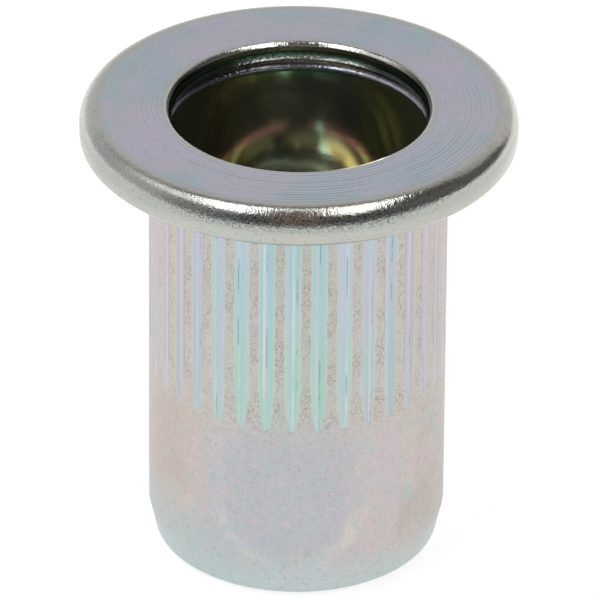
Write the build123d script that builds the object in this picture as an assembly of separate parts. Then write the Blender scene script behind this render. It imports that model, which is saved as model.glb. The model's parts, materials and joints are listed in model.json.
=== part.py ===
from build123d import *
import math
import os

# Open-end blind rivet nut, M8, with a flat flange and a splined round shank.
# One piece of cold-formed steel.  All sizes in millimetres, angles in degrees.
# The origin is on the axis, in the plane of the flange's underside, which seats on the panel.
# +Z runs along the axis, out of the mouth that the screw enters by.

# shank, which passes through an 11 mm hole in the panel
body_diameter = 10.95
shank_length = 16.3            # below the flange's underside
nose_taper_length = 1.4        # the end of the shank narrows, to find the hole
nose_taper_angle = 12.4
nose_edge_radius = 0.42

# flange
flange_diameter = 16.0
flange_thickness = 1.5
flange_top_radius = 0.6        # the die rolls the outer edge over
flange_under_radius = 0.42
seat_width = 0.25              # flat ring inside the rounded edge, where a joined part bears
flange_dish = 0.06             # from that ring the face sinks a little to the mouth

# mouth, and the thin-walled bore that folds outwards when the nut is set
mouth_diameter = 9.54          # at its narrow end, on the ledge
mouth_draft = 1.5              # degrees from upright, so that the punch pulls free
mouth_edge_radius = 0.15
mouth_depth = 0.87             # from the seat ring down to a sloping ledge
ledge_angle = 30.0             # from flat
bore_diameter = 9.3
bore_depth = 8.65              # from the seat ring down to the shoulder
shoulder_angle = 12.0          # from flat

# thread, bored here at its minor diameter
thread_diameter = 8.0
thread_minor_diameter = 6.75
thread_top_chamfer = 0.25
thread_end_clearance = 0.15    # the chamfer at the nose opens this far outside the thread
thread_end_angle = 45.0

# splines: grooves pressed into the shank, with plain lands between them
groove_count = 36
groove_width = 0.61            # across a groove at the surface of the shank
groove_depth = 0.075
groove_reach = 9.15            # from the flange's underside to a groove's tip
groove_runout = 1.8            # the last stretch, where the floor rises to the surface

body_radius = body_diameter / 2
flange_radius = flange_diameter / 2
mouth_radius = mouth_diameter / 2
bore_radius = bore_diameter / 2
minor_radius = thread_minor_diameter / 2
rim_z = flange_thickness
nose_z = -shank_length


def rise(run, angle):
    return run * math.tan(math.radians(angle))


def outer_outline():
    """Corners down the outside, from the seat ring to the nose, and the radius of each."""
    nose_radius = body_radius - rise(nose_taper_length, nose_taper_angle)
    return [
        ((flange_radius - flange_top_radius - seat_width, rim_z), 0),
        ((flange_radius, rim_z), flange_top_radius),
        ((flange_radius, 0), flange_under_radius),
        ((body_radius, 0), 0),
        ((body_radius, nose_z + nose_taper_length), 0),
        ((nose_radius, nose_z), nose_edge_radius),
    ]


def inner_outline():
    """Corners up the inside, from the nose to the mouth, and the radius of each."""
    end_radius = thread_diameter / 2 + thread_end_clearance
    end_chamfer = rise(end_radius - minor_radius, thread_end_angle)
    top_radius = minor_radius + thread_top_chamfer
    shoulder_z = rim_z - bore_depth
    thread_z = shoulder_z - rise(bore_radius - top_radius, shoulder_angle)
    ledge_z = rim_z - mouth_depth
    edge_z = rim_z - flange_dish
    edge_radius = mouth_radius + rise(edge_z - ledge_z, mouth_draft)
    return [
        ((end_radius, nose_z), 0),
        ((minor_radius, nose_z + end_chamfer), 0),
        ((minor_radius, thread_z - thread_top_chamfer), 0),
        ((top_radius, thread_z), 0),
        ((bore_radius, shoulder_z), 0),
        ((bore_radius, ledge_z - rise(mouth_radius - bore_radius, ledge_angle)), 0),
        ((mouth_radius, ledge_z), 0),
        ((edge_radius, edge_z), mouth_edge_radius),
    ]


def half_section():
    """Half of the nut's section: x is the distance from the axis, y is the height."""
    outline = outer_outline() + inner_outline()
    section = make_face(Polyline(*[corner for corner, radius in outline], close=True))
    for corner, radius in outline:
        if radius > 0:
            vertex = section.vertices().sort_by_distance(corner)[0]
            section = fillet(vertex, radius)
    return section


def groove_cutter():
    """A round bar laid along the shank on the +X side, whose lower end slants outwards."""
    half_width = groove_width / 2
    crown = body_radius - math.sqrt(body_radius**2 - half_width**2)
    depth_of_chord = groove_depth - crown
    bar_radius = (half_width**2 + depth_of_chord**2) / (2 * depth_of_chord)
    bar_x = body_radius - groove_depth + bar_radius
    slant = groove_depth / groove_runout
    slant_z = groove_runout - groove_reach
    slant_length = 1.5 * groove_runout       # long enough to leave the shank
    top = (bar_x, 0, 0)
    path = Polyline(
        top,
        (bar_x, 0, slant_z),
        (bar_x + slant * slant_length, 0, slant_z - slant_length),
    )
    bar_end = Plane(top, z_dir=(0, 0, -1)) * Circle(bar_radius)
    return sweep(bar_end, path=path, transition=Transition.RIGHT)


def rivet_nut():
    blank = revolve(Plane.XZ * half_section(), Axis.Z)
    return blank - PolarLocations(0, groove_count) * groove_cutter()


os.makedirs("parts", exist_ok=True)
export_step(rivet_nut(), "parts/rivet_nut.step")
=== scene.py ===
import json
import math

import bmesh
import bpy
from mathutils import Matrix, Vector


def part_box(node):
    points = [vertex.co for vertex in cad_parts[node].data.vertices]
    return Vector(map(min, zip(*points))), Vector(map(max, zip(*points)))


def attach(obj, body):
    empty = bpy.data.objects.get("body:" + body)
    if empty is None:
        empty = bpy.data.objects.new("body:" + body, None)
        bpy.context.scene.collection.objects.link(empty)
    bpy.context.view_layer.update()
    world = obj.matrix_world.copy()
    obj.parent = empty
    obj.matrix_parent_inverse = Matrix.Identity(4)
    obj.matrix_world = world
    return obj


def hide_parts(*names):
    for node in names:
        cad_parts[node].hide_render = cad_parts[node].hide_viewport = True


# An open-end blind rivet nut, bright zinc plated with a faint rainbow passivation.
# The nut is one mesh, made ring by ring from its section.  Sizes here are in millimetres.

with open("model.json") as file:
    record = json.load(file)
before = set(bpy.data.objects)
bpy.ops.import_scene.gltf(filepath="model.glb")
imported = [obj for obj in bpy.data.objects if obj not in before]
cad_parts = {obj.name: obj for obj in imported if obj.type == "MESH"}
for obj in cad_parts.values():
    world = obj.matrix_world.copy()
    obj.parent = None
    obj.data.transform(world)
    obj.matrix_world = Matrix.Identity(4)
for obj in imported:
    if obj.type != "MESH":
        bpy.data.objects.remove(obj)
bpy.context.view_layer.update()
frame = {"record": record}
mm = 0.001

bpy.context.scene.view_settings.view_transform = "Standard"


def linear(red, green, blue):
    # a screen colour, 0 to 255, as the values that the shaders use
    values = [v / 255 for v in (red, green, blue)]
    return [v / 12.92 if v < 0.04045 else ((v + 0.055) / 1.055) ** 2.4 for v in values] + [1.0]


class Finish:
    # one material, and short ways to wire its nodes

    def __init__(self, name):
        self.material = bpy.data.materials.new(name)
        self.material.use_nodes = True
        self.tree = self.material.node_tree
        self.tree.nodes.clear()
        self.shader = self.add("ShaderNodeBsdfPrincipled")
        output = self.add("ShaderNodeOutputMaterial")
        self.tree.links.new(self.shader.outputs[0], output.inputs[0])
        place = self.add("ShaderNodeTexCoord").outputs["Object"]
        self.place = self.vector("SCALE", place, scale=1 / mm)                  # in millimetres
        self.x, self.y, self.height = self.add("ShaderNodeSeparateXYZ", self.place).outputs
        self.radius = self.math("SQRT", self.plus(self.times(self.x, self.x), self.times(self.y, self.y)))
        self.turn = self.math("ARCTAN2", self.x, self.times(self.y, -1.0))      # 0 in front, + to the right

    def add(self, kind, *inputs, **settings):
        node = self.tree.nodes.new(kind)
        for key, value in settings.items():
            setattr(node, key, value)
        for socket, value in zip(node.inputs, inputs):
            self.join(value, socket)
        return node

    def join(self, value, socket):
        if isinstance(value, bpy.types.NodeSocket):
            self.tree.links.new(value, socket)
        elif value is not None:
            socket.default_value = value

    def math(self, operation, first, second=None, third=None, clamp=False):
        node = self.add("ShaderNodeMath", first, second, third, operation=operation, use_clamp=clamp)
        return node.outputs[0]

    def plus(self, first, second):
        return self.math("ADD", first, second)

    def minus(self, first, second):
        return self.math("SUBTRACT", first, second)

    def times(self, first, second):
        return self.math("MULTIPLY", first, second)

    def scaled(self, value, factor, shift):
        return self.math("MULTIPLY_ADD", value, factor, shift)

    def size(self, value):
        # without its sign
        return self.math("ABSOLUTE", value)

    def vector(self, operation, first, second=None, scale=None):
        node = self.add("ShaderNodeVectorMath", first, second, operation=operation)
        if scale is not None:
            self.join(scale, node.inputs["Scale"])
        return node.outputs[0]

    def between(self, value, low, high, outLow=0.0, outHigh=1.0):
        # value from low to high, eased, as outLow to outHigh
        return self.add("ShaderNodeMapRange", value, low, high, outLow, outHigh,
                        interpolation_type="SMOOTHSTEP").outputs[0]

    def near(self, value, middle, outer, inner):
        # 1 within inner of the middle, and 0 beyond outer
        return self.between(self.size(self.minus(value, middle)), outer, inner)

    def noise(self, scale, detail, roughness, place=None, distortion=0.0):
        node = self.add("ShaderNodeTexNoise")
        self.join(place or self.place, node.inputs["Vector"])
        settings = {"Scale": scale, "Detail": detail, "Roughness": roughness, "Distortion": distortion}
        for key, value in settings.items():
            self.join(value, node.inputs[key])
        return node.outputs[0]

    def stretched(self, x, y, z):
        return self.vector("MULTIPLY", self.place, (x, y, z))

    def mix(self, factor, first, second):
        node = self.add("ShaderNodeMix", data_type="RGBA")
        self.join(factor, node.inputs[0])
        self.join(first, node.inputs[6])
        self.join(second, node.inputs[7])
        return node.outputs[2]

    def lay(self, factor, under, name):
        # one of the listed colours, the plating's own or painted light and shade, over what is there
        return self.mix(factor, under, linear(*plating["colours"][name]))

    def weigh(self, factor, first, second):
        # from one plain number to another
        return self.scaled(factor, self.minus(second, first), first)

    def ramp(self, value, name):
        stops = plating["ramps"][name]
        node = self.add("ShaderNodeValToRGB", value)
        band = node.color_ramp
        while len(band.elements) < len(stops):
            band.elements.new(0.5)
        for element, (position, colour) in zip(band.elements, stops):
            element.position = position
            element.color = linear(*colour)
        return node.outputs[0]

    def bump(self, height, depth, under=None):
        # depth is in millimetres, for a height of 0 to 1
        node = self.add("ShaderNodeBump")
        self.join(height, node.inputs["Height"])
        self.join(depth * mm, node.inputs["Distance"])
        if under is not None:
            self.join(under, node.inputs["Normal"])
        return node.outputs[0]

    def finish(self, colour, roughness, normal, metal=1.0):
        self.join(colour, self.shader.inputs["Base Color"])
        self.join(roughness, self.shader.inputs["Roughness"])
        self.join(normal, self.shader.inputs["Normal"])
        self.shader.inputs["Metallic"].default_value = metal
        return self.material


nut = {
    "bodyRadius": 5.475,
    "noseTaperLength": 1.4,
    "noseTaperAngle": 12.4,
    "noseEdgeRadius": 0.42,
    "flangeTopRadius": 0.6,
    "rollReach": 0.61,             # the rolled edge starts this far in,
    "rollDrop": 0.71,              # and runs this far down
    "flangeUnderRadius": 0.42,
    "seatWidth": 0.25,
    "flangeDish": 0.06,
    "mouthRadius": 4.79,
    "mouthDraft": -3.5,            # the rolled lip stands in a little over the ledge
    # the mouth's worn edge, as arcs from the face down: radius, and degrees from level at the end of each
    "mouthEdge": ((0.16, 28), (0.45, 46), (0.07, 89)),
    "mouthDepth": 0.94,
    "ledgeAngle": 30.0,
    # a faint bead round the mouth's wall: where it starts, stands out most and ends, and how far it stands in
    "mouthBead": (0.48, 0.66, 0.74, 0.09),
    "ledgeRadius": 0.2,            # the ledge rolls over into the bore
    "boreDepth": 8.65,
    "boreCornerRadius": 0.18,
    "shoulderAngle": 12.0,
    "threadRadius": 4.0,
    "threadPitch": 1.25,
    "threadTopChamfer": 0.25,
    "threadEndClearance": 0.15,
    "threadFade": 0.45,            # the first turn sinks in over this height
    "grooveCount": 36,
    "grooveWidth": 0.61,
    "grooveDepth": 0.075,
    "grooveReach": 9.15,
    "grooveRunout": 1.8,
    # degrees from a groove's middle at which the mesh has a line
    "grooveLines": (0.0, 0.8, 1.55, 2.25, 2.8, 3.19, 3.9, 5.0),
    # how finely each stretch of the section is divided
    "steps": {"face": 4, "roll": 12, "under": 8, "groove": 10, "runout": 14, "nose": 7, "corner": 6,
              "bead": 10, "wornEdge": 4},
    "sharpAngle": 21.0,            # corners sharper than this stay crisp
}

low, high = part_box("rivet_nut")
rimZ = high[2] / mm
noseZ = low[2] / mm
flangeRadius = high[0] / mm
wallRadius = {m["name"]: m["dims"].get("r_mm") for m in frame["record"]["mounts"]}
boreRadius = wallRadius["screw_bore"]
minorRadius = wallRadius["thread"]


def rise(run, angle):
    return run * math.tan(math.radians(angle))


def arc(centre, radius, start, end, steps, tall=1.0):
    # points (distance from the axis, height) on an arc; angles in degrees, 0 outwards, 90 up
    points = []
    for step in range(steps + 1):
        angle = math.radians(start + (end - start) * step / steps)
        points.append((centre[0] + radius * math.cos(angle), centre[1] + radius * tall * math.sin(angle)))
    return points


def line(start, end, steps):
    return [tuple(a + (b - a) * k / steps for a, b in zip(start, end)) for k in range(steps + 1)]


def outerRings():
    # from the mouth's edge outwards, down the shank and round to the nose's chamfer
    top, under, edge = nut["flangeTopRadius"], nut["flangeUnderRadius"], nut["noseEdgeRadius"]
    body, steps = nut["bodyRadius"], nut["steps"]
    seatRadius = flangeRadius - top - nut["seatWidth"]
    face = line(mouthEdge()[-1], (seatRadius, rimZ), steps["face"])
    reach, drop = nut["rollReach"], nut["rollDrop"]
    seat = line((seatRadius, rimZ), (flangeRadius - reach, rimZ), 2)
    rim = arc((flangeRadius - reach, rimZ - drop), reach, 90, 0, steps["roll"], drop / reach)
    rim += line((flangeRadius, rimZ - drop), (flangeRadius, under), 2)[1:]
    rim += arc((flangeRadius - under, under), under, 0, -90, steps["under"])[1:]
    below = line((flangeRadius - under, 0), (body, 0), 3)
    grooveEnd = -nut["grooveReach"]
    runoutTop = grooveEnd + nut["grooveRunout"]
    shank = line((body, 0), (body, runoutTop), steps["groove"])
    shank += line((body, runoutTop), (body, grooveEnd), steps["runout"])[1:]
    taperZ = noseZ + nut["noseTaperLength"]
    shank += line((body, grooveEnd), (body, taperZ), 4)[1:]
    taper = nut["noseTaperAngle"]
    noseRadius = body - rise(nut["noseTaperLength"], taper)
    # the edge radius meets the taper and the flat nose
    setBack = rise(edge, (90 - taper) / 2)
    centre = (noseRadius - setBack, noseZ + edge)
    shank += line((body, taperZ), arc(centre, edge, -taper, -90, 1)[0], 3)[1:]
    shank += arc(centre, edge, -taper, -90, steps["nose"])[1:]
    endRadius = nut["threadRadius"] + nut["threadEndClearance"]
    shank += line((centre[0], noseZ), (endRadius, noseZ), 2)[1:]
    return face, seat, rim, below, shank


def mouthTop():
    ledgeZ = rimZ - nut["mouthDepth"]
    edgeZ = rimZ - nut["flangeDish"]
    return nut["mouthRadius"] + rise(edgeZ - ledgeZ, nut["mouthDraft"]), edgeZ


def mouthEdge():
    # the worn edge, from the drafted wall up to the dished face
    radius, height = mouthTop()
    steps = nut["steps"]["wornEdge"]
    points = [(0.0, 0.0)]
    before = 0.0
    for bend, after in nut["mouthEdge"]:
        x, z = points[-1]
        first = math.radians(before)
        for step in range(1, steps + 1):
            angle = math.radians(before + (after - before) * step / steps)
            points.append((x - bend * (math.sin(angle) - math.sin(first)),
                           z - bend * (math.cos(first) - math.cos(angle))))
        before = after
    width = -points[-1][0]
    return [(radius + width + x, height + z) for x, z in reversed(points)]


def innerRings():
    # from the thread's top up to the mouth's edge
    steps = nut["steps"]
    ledgeZ = rimZ - nut["mouthDepth"]
    shoulderZ = rimZ - nut["boreDepth"]
    slope = nut["shoulderAngle"]
    topRadius = minorRadius + nut["threadTopChamfer"]
    threadZ = shoulderZ - rise(boreRadius - topRadius, slope)
    corner = nut["boreCornerRadius"]
    centre = (boreRadius - corner, shoulderZ + rise(corner, (90 - slope) / 2))
    cornerArc = arc(centre, corner, -90 + slope, 0, steps["corner"])
    bore = line((topRadius, threadZ), cornerArc[0], 3) + cornerArc[1:]
    roll, ledge = nut["ledgeRadius"], nut["ledgeAngle"]
    cornerZ = ledgeZ - rise(nut["mouthRadius"] - boreRadius, ledge)
    centre = (boreRadius + roll, cornerZ - rise(roll, (90 - ledge) / 2))
    ledgeArc = arc(centre, roll, 180, 90 + ledge, steps["corner"])
    bore += line(cornerArc[-1], ledgeArc[0], 6)[1:]
    beadTop, beadPeak, beadEnd, beadIn = nut["mouthBead"]
    wallHigh = mouthEdge()[0]
    bead = []
    for step in range(steps["bead"] + 1):
        depth = beadEnd + (beadTop - beadEnd) * step / steps["bead"]
        if depth > beadPeak:
            share = 0.5 + 0.5 * math.cos(math.pi * (depth - beadPeak) / (beadEnd - beadPeak))
        else:
            share = ((depth - beadTop) / (beadPeak - beadTop)) ** 2
        bead.append((wallHigh[0] - beadIn * share, rimZ - depth))
    mouth = ledgeArc + line(ledgeArc[-1], (nut["mouthRadius"], ledgeZ), 1)[1:]
    mouth += bead + line(bead[-1], wallHigh, 2)[1:]
    mouth += mouthEdge()[1:]
    return bore, mouth, threadZ


def lineAngles():
    # every angle round the axis at which the mesh has a line; a groove lies on +X
    pitch = 360 / nut["grooveCount"]
    lines = nut["grooveLines"]
    offsets = sorted(set(lines) | {pitch - v for v in lines if v > 0})
    return [math.radians(pitch * k + v) for k in range(nut["grooveCount"]) for v in offsets]


def grooveFloor(angle, height):
    # distance from the axis of a groove's surface, for a round bar pressed into the shank
    body, half = nut["bodyRadius"], nut["grooveWidth"] / 2
    crown = body - math.sqrt(body ** 2 - half ** 2)
    chord = nut["grooveDepth"] - crown
    bar = (half ** 2 + chord ** 2) / (2 * chord)
    pitch = 2 * math.pi / nut["grooveCount"]
    away = (angle + pitch / 2) % pitch - pitch / 2
    below = max(0.0, nut["grooveRunout"] - nut["grooveReach"] - height)
    lift = below * nut["grooveDepth"] / nut["grooveRunout"]
    centre = body - nut["grooveDepth"] + bar + lift
    inside = bar ** 2 - (centre * math.sin(away)) ** 2
    if inside <= 0:
        return body
    return min(body, centre * math.cos(away) - math.sqrt(inside))


def threadRadiusAt(share):
    # a metric thread's wall: share 0 to 1 is one pitch, from the middle of a root
    flat, flank = 1 / 16, 5 / 16           # half the root's flat, and one flank
    if share > 0.5:
        share = 1 - share
    sunk = min(max((share - flat) / flank, 0.0), 1.0)
    return nut["threadRadius"] + (minorRadius - nut["threadRadius"]) * sunk


def buildNut():
    angles = lineAngles()
    count = len(angles)
    mesh = bmesh.new()
    zones = []

    def point(radius, angle, height):
        return mesh.verts.new((radius * math.cos(angle) * mm, radius * math.sin(angle) * mm, height * mm))

    def plainRing(radius, height):
        return [point(radius, a, height) for a in angles]

    def groovedRing(height):
        return [point(grooveFloor(a, height), a, height) for a in angles]

    def quad(zone, *corners):
        zones.append((mesh.faces.new(corners), zone))

    def skin(first, second, zone):
        for k in range(count):
            after = (k + 1) % count
            quad(zone, first[k], first[after], second[after], second[k])

    face, seat, rim, below, shank = outerRings()
    bore, mouth, threadZ = innerRings()
    rings = []
    for zone, points in (("face", face), ("face", seat), ("rim", rim), ("under", below), ("shank", shank)):
        for index, (radius, height) in enumerate(points):
            if rings and index == 0:
                continue                   # each stretch starts where the one before it ends
            onGrooves = zone == "shank" and height >= -nut["grooveReach"]
            if onGrooves or (zone == "under" and index == len(points) - 1):
                rings.append((groovedRing(height), zone))
            else:
                rings.append((plainRing(radius, height), zone))
    for (first, _), (second, zone) in zip(rings, rings[1:]):
        skin(first, second, zone)
    noseRing = rings[-1][0]

    # the thread: a strip wound on the axis, cut off flat where it meets the chamfers
    pitch = nut["threadPitch"]
    endRadius = nut["threadRadius"] + nut["threadEndClearance"]
    endZ = noseZ + nut["threadEndClearance"]
    topRadius = minorRadius + nut["threadTopChamfer"]
    turns = math.ceil((threadZ - endZ) / pitch) + 2

    def threadPoint(angle, height):
        height = min(max(height, endZ), threadZ)
        share = (height / pitch - angle / (2 * math.pi)) % 1.0
        fade = min((threadZ - height) / nut["threadFade"], 1.0)
        radius = minorRadius + (threadRadiusAt(share) - minorRadius) * fade
        radius = max(radius, topRadius - (threadZ - height), endRadius - (height - noseZ))
        return point(radius, angle, height)

    shares = (0.0, 1 / 16, 7 / 32, 3 / 8, 1 / 2, 5 / 8, 25 / 32, 15 / 16)       # rows to one pitch
    startZ = math.floor(endZ / pitch - 1) * pitch
    wound = []
    for turn in range(turns + 1):
        for share in shares:
            rowZ = startZ + (turn + share) * pitch
            wound.append([threadPoint(a, rowZ + a / (2 * math.pi) * pitch) for a in angles])
    for row in range(len(wound) - 1):
        first, second = wound[row], wound[row + 1]
        for k in range(count - 1):
            quad("thread", first[k], first[k + 1], second[k + 1], second[k])
        oneTurnOn = row + len(shares)
        if oneTurnOn + 1 < len(wound):     # past that, everything lies flat on the top ring
            quad("thread", first[-1], wound[oneTurnOn][0], wound[oneTurnOn + 1][0], second[-1])

    # chamfer at the nose, then the shoulder, bore and mouth
    skin(noseRing, plainRing(nut["threadRadius"], endZ), "thread")
    upper = [(plainRing(radius, height), zone)
             for zone, points in (("bore", bore), ("mouth", mouth[1:-1])) for radius, height in points]
    for (first, _), (second, zone) in zip(upper, upper[1:] + [(rings[0][0], "mouth")]):
        skin(first, second, zone)

    bmesh.ops.remove_doubles(mesh, verts=mesh.verts, dist=1e-7)
    slots = {"face": 0, "rim": 1, "under": 1, "shank": 2, "bore": 3, "mouth": 3, "thread": 3}
    for item, zone in zones:
        if item.is_valid:
            item.material_index = slots[zone]
            item.smooth = True
    bmesh.ops.recalc_face_normals(mesh, faces=mesh.faces)
    data = bpy.data.meshes.new("rivetNut")
    mesh.to_mesh(data)
    mesh.free()
    data.set_sharp_from_angle(angle=math.radians(nut["sharpAngle"]))
    made = bpy.data.objects.new("rivetNut", data)
    bpy.context.scene.collection.objects.link(made)
    return made


piece = buildNut()
print("nut mesh:", len(piece.data.vertices), "points,", len(piece.data.polygons), "faces")


plating = {
    "faceRoughness": 0.3,
    "rimRoughness": 0.06,
    "rimSpeckRoughness": 0.16,     # added in the specks of the rolled edge
    "shankRoughness": 0.34,
    "boreRoughness": 0.1,
    "threadRoughness": 0.34,
    "mouthRoughness": 0.09,
    "turningPitch": 0.18,          # between the tool marks on the flange's face
    "turningDepth": 0.0022,
    "turnedFrom": (4.95, 5.12),    # the marks fade in over these radii,
    "turnedTo": (7.08, 7.36),      # and out over these
    "faceGrainDepth": 0.002,
    "rimGrainDepth": 0.0115,
    "rimWaveDepth": 0.006,
    "rimGritDepth": 0.0065,        # finer, and only in front
    "landGrainDepth": 0.014,
    "bodyGrainDepth": 0.005,
    "streakDepth": 0.004,
    "boreWaveDepth": 0.002,
    "mouthGrainDepth": 0.03,
    "tipShape": 0.36,              # a groove's tip: 0.5 is pointed, and less is blunter
    "stainHalfWidth": 2.6,         # painted reflection: a greyer patch on the front of the plain part
    "stainTop": -11.0,
    "stainDrop": 3.5,
    "stainShape": 2.6,             # 2 is an ellipse, and more is squarer
    "beadDepth": 0.6,              # below the rim, in the mouth
    "gapDepth": 0.82,
    "ledgeDepth": 0.97,
    "boreMetal": 0.955,            # a little under 1, so that the deep bore isn't black
    "colours": {                   # screen colours, 0 to 255
        "facePatch": (184, 209, 212),
        "faceFleck": (150, 150, 158),
        "markDark": (118, 130, 146),
        "markBright": (222, 218, 230),
        "facePlain": (196, 197, 193),
        "rimPatch": (176, 192, 190),
        "rimSide": (168, 173, 166),
        "rimPit": (140, 134, 122),
        "rimGrit": (76, 84, 100),
        "grooveGleam": (212, 222, 226),
        "grooveLilac": (202, 192, 214),
        "grooveSide": (168, 170, 174),
        "grooveFringe": (204, 207, 186),
        "grooveScratch": (104, 132, 138),
        "bodyBlotch": (206, 200, 186),
        "bodyPink": (212, 190, 196),
        "bodyTeal": (180, 200, 200),
        "bodyNose": (198, 212, 212),
        "bodyWarmLeft": (196, 176, 166),
        "bodyCoolLeft": (176, 198, 200),
        "stain": (186, 184, 194),
        "stainEdge": (216, 214, 210),
        "land": (203, 199, 190),
        "landSpeck": (158, 152, 143),
        "mottlePink": (214, 195, 201),
        "mottleGreen": (182, 198, 190),
        "bodyCrumb": (168, 160, 150),
        "bodyPit": (140, 132, 128),
        "beadShade": (36, 38, 36),
        "mouthEdgeShade": (70, 72, 66),
        "gapShade": (50, 50, 48),
        "ledgeShade": (92, 88, 100),
        "boreRight": (194, 202, 150),
        "boreLeft": (178, 166, 138),
        "boreBack": (184, 193, 204),
        "boreTeal": (146, 200, 204),
        "shoulderPale": (204, 222, 190),
        "thread": (164, 162, 128),
        "shoulderDull": (86, 90, 70),
    },
    "ramps": {                     # screen colours by position, 0 to 1
        # by soft cloud over the flange
        "face": ((0.3, (203, 203, 219)), (0.45, (211, 203, 219)), (0.56, (206, 206, 218)),
                 (0.68, (194, 207, 218))),
        "rim": ((0.32, (196, 197, 192)), (0.5, (204, 203, 197)), (0.66, (200, 197, 188))),
        # from the front to the sides, in the grooves' upper part; the groove colours, here and lower down,
        # are a little darker as painted shade from the flange
        "grooveHigh": ((0.0, (164, 198, 198)), (0.25, (174, 200, 206)), (0.45, (186, 196, 208)),
                       (0.7, (197, 187, 203)), (0.9, (203, 182, 194))),
        # and lower down
        "grooveLow": ((0.05, (166, 202, 190)), (0.35, (174, 202, 198)), (0.6, (180, 195, 200)),
                      (0.85, (192, 186, 196))),
        "body": ((0.0, (186, 194, 196)), (0.2, (190, 191, 197)), (0.45, (198, 193, 196)),
                 (0.7, (204, 194, 192)), (0.95, (192, 184, 178))),
        # by depth, to 2 mm: worn edge, dark green wall with a painted reflection line in it, bead, gap
        # painted dark as shade, lilac ledge, start of the bore
        "mouth": ((0.0, (202, 203, 198)), (0.16, (204, 206, 200)), (0.19, (96, 140, 112)),
                  (0.24, (150, 196, 184)), (0.31, (190, 206, 194)), (0.34, (206, 198, 190)),
                  (0.38, (104, 108, 110)), (0.43, (188, 190, 198)), (0.5, (188, 184, 200)),
                  (0.53, (140, 162, 158)), (0.9, (160, 166, 158))),
        # streaks down the bore
        "bore": ((0.34, (168, 186, 176)), (0.44, (200, 186, 164)), (0.5, (186, 190, 182)),
                 (0.56, (190, 195, 152)), (0.64, (164, 182, 164))),
        # from the thread outwards: gold, green, and red at the corner
        "shoulder": ((0.0, (236, 214, 150)), (0.3, (232, 214, 150)), (0.6, (196, 196, 140)),
                     (0.84, (170, 182, 150)), (0.95, (172, 120, 104)), (1.0, (150, 92, 84))),
    },
}


def turnedFace():
    f = Finish("zincTurnedFace")
    drift = f.noise(0.16, 2.0, 0.5, distortion=0.6)
    colour = f.ramp(drift, "face")
    patch = f.noise(0.55, 4.0, 0.6)
    outward = f.between(f.radius, 5.6, 7.2, 0.2, 0.75)
    colour = f.lay(f.times(f.between(patch, 0.42, 0.66), outward), colour, "facePatch")
    fine = f.noise(6.0, 3.0, 0.6)
    colour = f.lay(f.between(fine, 0.35, 0.7, 0.0, 0.16), colour, "faceFleck")
    # tool marks: rings of uneven depth and spacing
    ringPlace = f.math("DIVIDE", f.radius, plating["turningPitch"] / (2 * math.pi))
    wobble = f.times(f.noise(0.35, 2.0, 0.5), 5.0)
    rings = f.math("SINE", f.plus(ringPlace, wobble))
    bow = f.math("SINE", f.plus(f.times(f.radius, 2.0), f.turn))
    ringSpot = f.add("ShaderNodeCombineXYZ", f.times(f.radius, 4.6), f.times(bow, 0.35)).outputs[0]
    ringNoise = f.noise(1.0, 3.0, 0.7, place=ringSpot)
    rings = f.plus(f.times(rings, 0.7), f.scaled(ringNoise, 2.8, -1.4))
    strength = f.between(f.noise(0.5, 2.0, 0.5), 0.35, 0.65, 0.35, 1.0)
    frontward = f.between(f.math("COSINE", f.turn), 0.1, 0.95, 0.6, 1.75)      # plainest in front
    marks = f.times(rings, f.times(strength, frontward))
    colour = f.lay(f.between(marks, 0.0, 1.3, 0.0, 0.42), colour, "markDark")
    colour = f.lay(f.between(marks, 0.0, -1.3, 0.0, 0.3), colour, "markBright")
    # the marks die out towards the rolled edges, where the plating is plain
    worn = f.plus(f.radius, f.scaled(f.noise(1.5, 3.0, 0.6), 0.4, -0.2))
    inner, outer = plating["turnedFrom"], plating["turnedTo"]
    plain = f.math("MAXIMUM", f.between(worn, outer[0], outer[1]), f.between(worn, inner[1], inner[0]))
    colour = f.lay(plain, colour, "facePlain")
    normal = f.bump(f.times(f.scaled(marks, 0.4, 0.5), f.minus(1.0, plain)), plating["turningDepth"])
    normal = f.bump(fine, plating["faceGrainDepth"], normal)
    rough = f.between(drift, 0.3, 0.7, plating["faceRoughness"] - 0.03, plating["faceRoughness"] + 0.05)
    return f.finish(colour, rough, normal)


def rolledRim():
    f = Finish("zincRolledRim")
    drift = f.noise(0.4, 3.0, 0.55)
    colour = f.ramp(drift, "rim")
    colour = f.lay(f.between(f.noise(1.1, 3.0, 0.6), 0.56, 0.7, 0.0, 0.35), colour, "rimPatch")
    # painted shade: greyer on the upright side than above and below it
    side = f.minus(f.between(f.height, 1.25, 0.9, 0.0, 0.8), f.between(f.height, 0.75, 0.45, 0.0, 0.25))
    colour = f.lay(side, colour, "rimSide")
    pits = f.between(f.noise(7.5, 2.0, 0.5), 0.58, 0.72)
    colour = f.lay(f.times(pits, 0.35), colour, "rimPit")
    normal = f.bump(f.noise(10.5, 2.0, 0.6), plating["rimGrainDepth"])
    normal = f.bump(f.noise(3.2, 2.0, 0.5), plating["rimWaveDepth"], normal)
    # finer grit in front, and painted shade: dark specks in the band under the bright top, where dark
    # surroundings are mirrored
    inFront = f.between(f.math("COSINE", f.turn), 0.75, 0.95)
    grit = f.noise(16.0, 2.0, 0.6)
    normal = f.bump(f.times(grit, inFront), plating["rimGritDepth"], normal)
    band = f.times(f.between(f.height, 0.6, 0.85), f.between(f.height, 1.34, 1.22))
    dark = f.times(f.times(band, inFront), f.between(grit, 0.5, 0.62, 0.0, 0.75))
    colour = f.lay(dark, colour, "rimGrit")
    smooth, speck = plating["rimRoughness"], f.noise(17.0, 1.0, 0.5)
    rough = f.between(speck, 0.44, 0.62, smooth, smooth + plating["rimSpeckRoughness"])
    duller = f.between(f.math("SINE", f.turn), -0.42, -0.7, 0.0, 0.15)         # on the left
    return f.finish(colour, f.plus(rough, duller), normal)


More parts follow.
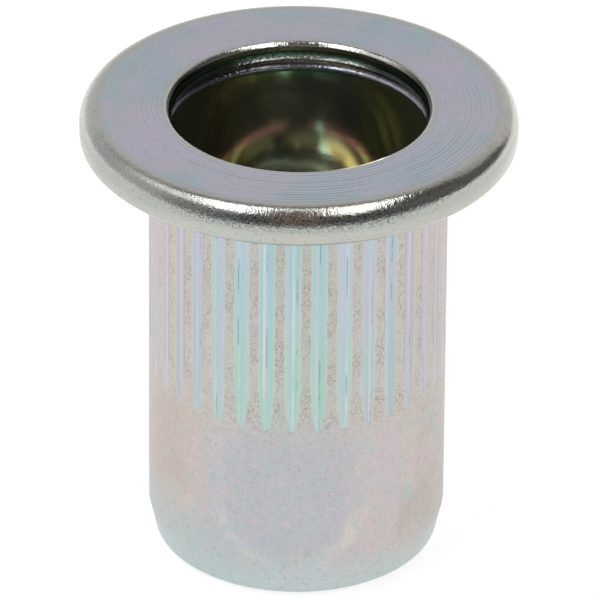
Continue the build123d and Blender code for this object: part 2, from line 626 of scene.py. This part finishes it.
def splinedShank():
    f = Finish("zincSplinedShank")
    pitch = 2 * math.pi / nut["grooveCount"]
    steps = f.math("DIVIDE", f.turn, pitch)
    index = f.math("ROUND", steps)             # which groove
    offset = f.minus(steps, index)             # from its middle, as a share of the pitch
    whim = f.add("ShaderNodeTexWhiteNoise", None, index, noise_dimensions="1D").outputs[0]
    otherIndex = f.plus(index, 71.3)
    otherWhim = f.add("ShaderNodeTexWhiteNoise", None, otherIndex, noise_dimensions="1D").outputs[0]
    # how wide a groove is at this height, as a share of the pitch
    half = math.asin(nut["grooveWidth"] / 2 / nut["bodyRadius"]) / pitch
    climb = f.math("DIVIDE", f.plus(f.height, nut["grooveReach"]), nut["grooveRunout"], clamp=True)
    width = f.times(f.math("POWER", climb, plating["tipShape"]), half)
    ragged = f.scaled(f.noise(2.6, 3.0, 0.6), 0.09, -0.045)
    edge = f.plus(f.minus(width, f.size(offset)), ragged)
    inGroove = f.times(f.between(edge, -0.04, 0.045), f.between(climb, 0.0, 0.03))
    across = f.math("DIVIDE", offset, f.math("MAXIMUM", width, 0.05))          # -1 to 1 over a groove
    # side is 0 in front and behind, 1 on the left and the right
    side = f.size(f.math("SINE", f.turn))
    cloud = f.noise(0.34, 3.0, 0.55, distortion=0.4)
    cast = f.plus(side, f.scaled(cloud, 0.9, -0.45))
    cast = f.plus(cast, f.scaled(whim, 0.24, -0.12))
    streak = f.noise(1.0, 3.0, 0.6, place=f.stretched(3.2, 3.2, 0.16))
    castFine = f.plus(cast, f.scaled(streak, 0.7, -0.35))
    lower = f.between(f.height, -3.0, -7.0)
    groove = f.mix(lower,
                   f.ramp(castFine, "grooveHigh"),
                   f.ramp(castFine, "grooveLow"))
    # painted highlight: a bright line down each groove
    gleamAt = f.scaled(whim, 1.0, -0.5)
    gleam = f.times(f.near(across, gleamAt, 0.3, 0.05), f.between(streak, 0.4, 0.6, 0.1, 0.7))
    groove = f.lay(gleam, groove, "grooveGleam")
    lilacAt = f.scaled(otherWhim, 1.2, -0.6)
    groove = f.lay(f.times(f.near(across, lilacAt, 0.35, 0.05), 0.4), groove, "grooveLilac")
    # painted shade: the grooves are greyer towards the left and right sides
    groove = f.lay(f.between(side, 0.2, 0.75, 0.0, 0.3), groove, "grooveSide")
    fringe = f.between(f.size(across), 0.62, 1.0, 0.0, 0.55)
    groove = f.lay(fringe, groove, "grooveFringe")
    # a few thin dark lines run down some of the grooves
    darkLineAt = f.scaled(otherWhim, -1.2, 0.55)
    darkLine = f.near(across, darkLineAt, 0.13, 0.02)
    broken = f.noise(1.0, 3.0, 0.65, place=f.stretched(1.6, 1.6, 0.5))
    darkLine = f.times(darkLine, f.between(broken, 0.5, 0.6))
    groove = f.lay(f.times(darkLine, 0.55), groove, "grooveScratch")

    body = f.ramp(cast, "body")
    blotch = f.noise(1.5, 5.0, 0.68, distortion=0.3)
    body = f.lay(f.between(blotch, 0.5, 0.7, 0.0, 0.5), body, "bodyBlotch")
    tint = f.noise(0.9, 4.0, 0.6)
    body = f.lay(f.between(tint, 0.54, 0.7, 0.0, 0.45), body, "bodyPink")
    body = f.lay(f.between(tint, 0.46, 0.3, 0.0, 0.45), body, "bodyTeal")
    # painted light: paler and bluer towards the nose, to brighten its mirrored floor, which the nut's shadow
    # darkens
    noseLight = f.between(f.plus(f.height, tint), noseZ + 2.6, noseZ + 0.9)
    body = f.lay(f.times(noseLight, 0.7), body, "bodyNose")
    coolLeft = f.times(f.between(f.x, 0.5, -3.0), f.between(f.height, -12.8, -14.4))
    warmLeft = f.times(f.between(f.x, -2.6, -4.4), f.between(f.height, -13.6, -12.0))
    body = f.lay(f.times(warmLeft, 0.45), body, "bodyWarmLeft")
    body = f.lay(f.times(coolLeft, 0.5), body, "bodyCoolLeft")
    # painted reflection on the front of the plain part: greyer inside, as the mirrored shade of the floor by
    # the nut, and paler round its lower edge
    power = plating["stainShape"]
    aside = f.math("POWER", f.size(f.math("DIVIDE", f.x, plating["stainHalfWidth"])), power)
    down = f.math("MAXIMUM", f.minus(plating["stainTop"], f.height), 0.0)
    down = f.math("POWER", f.math("DIVIDE", down, plating["stainDrop"]), power)
    reach = f.plus(f.math("POWER", f.plus(aside, down), 1 / power), f.scaled(tint, 0.5, -0.25))
    onFront = f.times(f.between(f.y, -2.0, -3.5), f.between(f.height, -9.0, -10.4))
    greyer = f.times(f.between(reach, 1.0, 0.84), onFront)
    paler = f.times(f.near(reach, 1.08, 0.14, 0.04), onFront)
    paler = f.times(paler, f.between(f.height, -12.0, -13.6))
    paler = f.times(paler, f.between(f.size(f.plus(f.x, 0.1)), 0.5, 1.5, 0.2, 1.0))
    paler = f.times(paler, f.between(blotch, 0.4, 0.62, 0.35, 1.0))
    body = f.lay(f.times(greyer, 0.42), body, "stain")
    body = f.lay(f.times(paler, 0.5), body, "stainEdge")
    # the lands between the grooves are duller and speckled
    land = f.lay(0.6, body, "land")
    speck = f.noise(11.0, 4.0, 0.66)
    patchy = f.between(f.noise(0.9, 3.0, 0.6), 0.35, 0.65, 0.2, 0.9)
    land = f.lay(f.times(f.between(speck, 0.42, 0.66), patchy), land, "landSpeck")
    grooveEnd = -nut["grooveReach"]
    onLands = f.between(f.height, grooveEnd - 1.2, grooveEnd + 1.0)
    # fine mottling, in soft rainbow tints
    mottle = f.noise(2.6, 4.0, 0.66)
    body = f.lay(f.between(mottle, 0.53, 0.66, 0.0, 0.42), body, "mottlePink")
    body = f.lay(f.between(mottle, 0.47, 0.34, 0.0, 0.5), body, "mottleGreen")
    crumb = f.noise(6.0, 4.0, 0.7)
    body = f.lay(f.between(crumb, 0.5, 0.7, 0.0, 0.3), body, "bodyCrumb")
    skinColour = f.mix(onLands, body, land)
    pit = f.between(f.noise(6.5, 2.0, 0.5), 0.58, 0.74, 0.0, 0.26)
    skinColour = f.lay(pit, skinColour, "bodyPit")
    colour = f.mix(inGroove, skinColour, groove)
    rougher = f.minus(1.0, inGroove)
    normal = f.bump(f.times(speck, f.times(onLands, rougher)), plating["landGrainDepth"])
    normal = f.bump(f.times(blotch, rougher), plating["bodyGrainDepth"], normal)
    normal = f.bump(streak, plating["streakDepth"], normal)
    dull = plating["shankRoughness"]
    specked = f.between(speck, 0.4, 0.7, dull, dull + 0.12)
    streaked = f.between(streak, 0.4, 0.7, dull - 0.08, dull)
    rough = f.weigh(inGroove, specked, streaked)
    return f.finish(colour, rough, normal)


def darkBore():
    f = Finish("zincDarkBore")
    depth = f.minus(rimZ, f.height)
    colour = f.ramp(f.math("DIVIDE", depth, 2.0, clamp=True), "mouth")
    # the bead is brightest at the back, and the ledge on the right
    right = f.math("SINE", f.turn)
    front = f.math("COSINE", f.turn)           # 1 in front, -1 at the back
    onBead = f.near(depth, plating["beadDepth"], 0.14, 0.1)
    dim = f.between(front, -0.97, -0.8, 0.0, 0.9)
    colour = f.lay(f.times(onBead, dim), colour, "beadShade")
    # painted shade: the worn edge is darker at the sides
    edgeSide = f.times(f.between(f.size(right), 0.6, 0.95), f.between(depth, 0.08, 0.11))
    colour = f.lay(f.times(edgeSide, f.between(depth, 0.36, 0.32)), colour, "mouthEdgeShade")
    onLedge = f.near(depth, plating["ledgeDepth"], 0.13, 0.07)
    gap = f.near(depth, plating["gapDepth"], 0.08, 0.04)
    colour = f.lay(f.times(gap, f.between(right, 0.15, 0.5, 0.2, 0.85)), colour, "gapShade")
    leftward, frontward = f.between(right, 0.35, -0.35, 0.0, 0.72), f.between(front, -0.5, -0.1, 0.0, 0.85)
    shade = f.times(onLedge, f.math("MAXIMUM", leftward, frontward))
    colour = f.lay(shade, colour, "ledgeShade")
    # bands of colour run down the bore, greener to the sides and steel blue at the back
    streak = f.noise(1.0, 4.0, 0.6, place=f.stretched(1.2, 1.2, 0.05), distortion=0.3)
    wall = f.ramp(streak, "bore")
    wall = f.lay(f.between(right, 0.3, 0.8, 0.0, 0.6), wall, "boreRight")
    wall = f.lay(f.between(right, -0.3, -0.8, 0.0, 0.6), wall, "boreLeft")
    wall = f.lay(f.between(front, -0.8, -1.0, 0.0, 0.85), wall, "boreBack")
    teal = f.times(f.between(depth, 1.7, 1.1), f.between(front, -0.9, -1.0))
    wall = f.lay(teal, wall, "boreTeal")
    colour = f.mix(f.between(depth, 1.0, 1.15), colour, wall)
    # the plating is thicker on the shoulder
    shoulder = f.ramp(f.between(f.radius, 3.3, 4.7), "shoulder")
    # painted highlight: a light strip on the shoulder, the edge of the glint mirrored in the bore
    pale = f.times(f.between(f.x, -2.7, -2.2), f.between(f.x, -1.4, -1.9))
    shoulder = f.lay(pale, shoulder, "shoulderPale")
    floorDepth = nut["boreDepth"]
    onShoulder = f.between(depth, floorDepth - 0.14, floorDepth - 0.04)
    colour = f.mix(onShoulder, colour, shoulder)
    inThread = f.between(depth, floorDepth + 0.35, floorDepth + 0.7)
    colour = f.lay(inThread, colour, "thread")
    # painted shade: darker down there on the right
    dull = f.times(onShoulder, f.between(f.x, -0.6, 2.2, 0.0, 0.85))
    dull = f.times(dull, f.between(f.radius, 4.6, 4.35))
    colour = f.lay(dull, colour, "shoulderDull")
    normal = f.bump(f.noise(1.0, 2.0, 0.5, place=f.stretched(1.2, 1.2, 3.0)), plating["boreWaveDepth"])
    # the mouth is grainy, and less so on its worn edge
    inMouth = f.between(depth, 1.2, 0.95)
    grit = f.scaled(f.between(depth, 0.4, 0.5), 0.55, 0.45)
    grain = f.times(f.noise(9.0, 2.0, 0.55), f.times(inMouth, grit))
    normal = f.bump(grain, plating["mouthGrainDepth"], normal)
    rough = f.weigh(inMouth, plating["boreRoughness"], plating["mouthRoughness"])
    rough = f.weigh(inThread, rough, plating["threadRoughness"])
    return f.finish(colour, rough, normal, metal=plating["boreMetal"])


for material in (turnedFace(), rolledRim(), splinedShank(), darkBore()):
    piece.data.materials.append(material)

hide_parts("rivet_nut")
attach(piece, "root")
print("finishes: done")


floorZ = noseZ * mm
studio = {                         # in metres
    "floorReach": 3.0,
    "floorColour": 0.55,
    "floorLift": 0.74,             # the floor's own light, so that it shows white
    "worldStrength": 1.0,
    # grey cards round the nut and over it, which only the metal sees: strength, colour, both ends of the
    # lower edge, the heights of the lower and the upper edge, and how far back the upper edge lies
    "cards": {
        "Back": (0.66, (0.98, 0.98, 1.0), (-0.6, 0.6), (0.6, 0.6), 0.06, 0.5, 0.0),
        "Front": (0.12, (0.9, 0.95, 1.0), (-0.4, -0.6), (0.6, -0.6), 0.0, 0.5, 0.0),
        "FrontLeft": (0.28, (1.0, 1.0, 1.0), (-0.6, -0.6), (-0.4, -0.6), 0.0, 0.5, 0.0),
        "Right": (0.13, (1.0, 1.0, 1.0), (0.6, -0.6), (0.6, 0.6), 0.02, 0.5, 0.0),
        "Left": (0.5, (1.0, 1.0, 1.0), (-0.6, -0.2), (-0.6, 0.6), 0.02, 0.5, 0.0),
        "LeftFront": (0.3, (1.0, 1.0, 1.0), (-0.6, -0.6), (-0.6, -0.2), 0.0, 0.5, 0.0),
        "Apron": (0.13, (0.98, 1.0, 1.0), (-0.35, -0.6), (0.55, -0.6), floorZ + 0.001, floorZ + 0.001, 0.525),
        # a small one in the mouth, which only the bore sees
        "Glint": (3.7, (1.0, 0.98, 0.9), (0.0015, -0.0038), (0.0032, -0.0038), 0.0013, 0.0013, 0.0041),
        "Above": (0.09, (1.0, 1.0, 1.0), (-0.6, -0.6), (0.6, -0.6), 0.5, 0.5, 1.2),
        # a leaning one gives the warm patch in the middle of the rolled edge
        "Warm": (0.26, (1.0, 0.74, 0.6), (-0.08, -0.59), (0.1, -0.59), 0.06, 0.46, 0.33),
        "Wash": (1.15, (1.0, 1.0, 1.0), (-0.5, -0.15), (-0.28, -0.15), 0.49, 0.49, 0.37),
        "WashBack": (0.34, (1.0, 1.0, 1.0), (-0.6, -0.6), (-0.27, -0.6), 0.495, 0.495, 1.2),
        "AboveBack": (0.44, (1.0, 1.0, 1.0), (-0.24, 0.27), (0.6, 0.27), 0.493, 0.493, 0.33),
    },
    "strips": (                    # two lamps, one to each side of the front
        # centre x and y, turn in degrees, width, length, height, watts, colour
        (0.172, -0.115, 17, 0.115, 0.54, 0.47, 0.78, (1.0, 0.99, 0.97)),
        (-0.193, -0.13, -22, 0.12, 0.52, 0.47, 0.78, (0.98, 0.99, 1.0)),
    ),
}


def floorWhite():
    # matt, with some light of its own wherever it is looked at or mirrored
    material = bpy.data.materials.new("floorWhite")
    material.use_nodes = True
    tree = material.node_tree
    tree.nodes.clear()
    add, link = tree.nodes.new, tree.links.new
    output, both = add("ShaderNodeOutputMaterial"), add("ShaderNodeAddShader")
    matt, glow, rays = add("ShaderNodeBsdfDiffuse"), add("ShaderNodeEmission"), add("ShaderNodeLightPath")
    matt.inputs["Color"].default_value = [studio["floorColour"]] * 3 + [1.0]
    seen = rays.outputs["Is Camera Ray"]
    for kind in ("Is Glossy Ray", "Is Transmission Ray"):
        either = add("ShaderNodeMath")
        either.operation = "MAXIMUM"
        link(seen, either.inputs[0])
        link(rays.outputs[kind], either.inputs[1])
        seen = either.outputs[0]
    amount = add("ShaderNodeMath")
    amount.operation = "MULTIPLY"
    amount.inputs[1].default_value = studio["floorLift"]
    link(seen, amount.inputs[0])
    link(amount.outputs[0], glow.inputs["Strength"])
    link(matt.outputs[0], both.inputs[0])
    link(glow.outputs[0], both.inputs[1])
    link(both.outputs[0], output.inputs[0])
    return material


def cardGlow(name, strength, colour):
    material = bpy.data.materials.new(name)
    material.use_nodes = True
    tree = material.node_tree
    tree.nodes.clear()
    output, glow = tree.nodes.new("ShaderNodeOutputMaterial"), tree.nodes.new("ShaderNodeEmission")
    glow.inputs["Color"].default_value = list(colour) + [1.0]
    glow.inputs["Strength"].default_value = strength
    tree.links.new(glow.outputs[0], output.inputs[0])
    return material


def plate(name, corners, material):
    data = bpy.data.meshes.new(name)
    data.from_pydata(corners, [], [tuple(range(len(corners)))])
    data.materials.append(material)
    made = bpy.data.objects.new(name, data)
    bpy.context.scene.collection.objects.link(made)
    return made


def buildStudio():
    reach = studio["floorReach"]
    corners = [(-reach, -reach), (reach, -reach), (reach, reach), (-reach, reach)]
    plate("floor", [(x, y, floorZ) for x, y in corners], floorWhite())
    for name, (strength, colour, first, second, bottom, top, back) in studio["cards"].items():
        name = "card" + name
        corners = [(*first, bottom), (*second, bottom),
                   (second[0], second[1] + back, top), (first[0], first[1] + back, top)]
        made = plate(name, corners, cardGlow(name, strength, colour))
        made.visible_camera = False
        made.visible_shadow = False
    for number, (x, y, turn, width, length, height, watts, colour) in enumerate(studio["strips"]):
        lamp = bpy.data.lights.new("strip%d" % number, "AREA")
        lamp.shape = "RECTANGLE"
        lamp.size, lamp.size_y = width, length
        lamp.energy = watts
        lamp.color = colour
        holder = bpy.data.objects.new("strip%d" % number, lamp)
        holder.location = (x, y, height)
        holder.rotation_euler = (0.0, 0.0, math.radians(turn))
        bpy.context.scene.collection.objects.link(holder)


def buildWorld():
    world = bpy.data.worlds.new("plainWhite")
    bpy.context.scene.world = world
    world.use_nodes = True
    back = world.node_tree.nodes["Background"]
    back.inputs["Color"].default_value = (1.0, 1.0, 1.0, 1.0)
    back.inputs["Strength"].default_value = studio["worldStrength"]


buildStudio()
buildWorld()


view = {
    "elevation": 30.28,
    "azimuth": -88.3,              # a spline groove lies just to the left of the middle
    "roll": 0.48,
    "distance": 344.5,
    "lens": 561.9,
    "targetAside": 0.087,
    "targetHeight": -6.735,
}


def buildCamera():
    lens = bpy.data.cameras.new("camera")
    lens.lens = view["lens"]
    lens.sensor_width = 36.0
    lens.clip_start = 0.01
    camera = bpy.data.objects.new("camera", lens)
    up, around, roll = (math.radians(view[k]) for k in ("elevation", "azimuth", "roll"))
    outward = Vector((math.cos(up) * math.cos(around), math.cos(up) * math.sin(around), math.sin(up)))
    right = Vector((-math.sin(around), math.cos(around), 0.0))
    above = outward.cross(right)
    target = right * view["targetAside"] + Vector((0.0, 0.0, view["targetHeight"]))
    rolledRight = right * math.cos(roll) + above * math.sin(roll)
    rolledUp = above * math.cos(roll) - right * math.sin(roll)
    camera.location = (target + outward * view["distance"]) * mm
    camera.rotation_mode = "QUATERNION"
    camera.rotation_quaternion = Matrix((rolledRight, rolledUp, outward)).transposed().to_quaternion()
    bpy.context.scene.collection.objects.link(camera)
    bpy.context.scene.camera = camera


buildCamera()
print("studio: done")
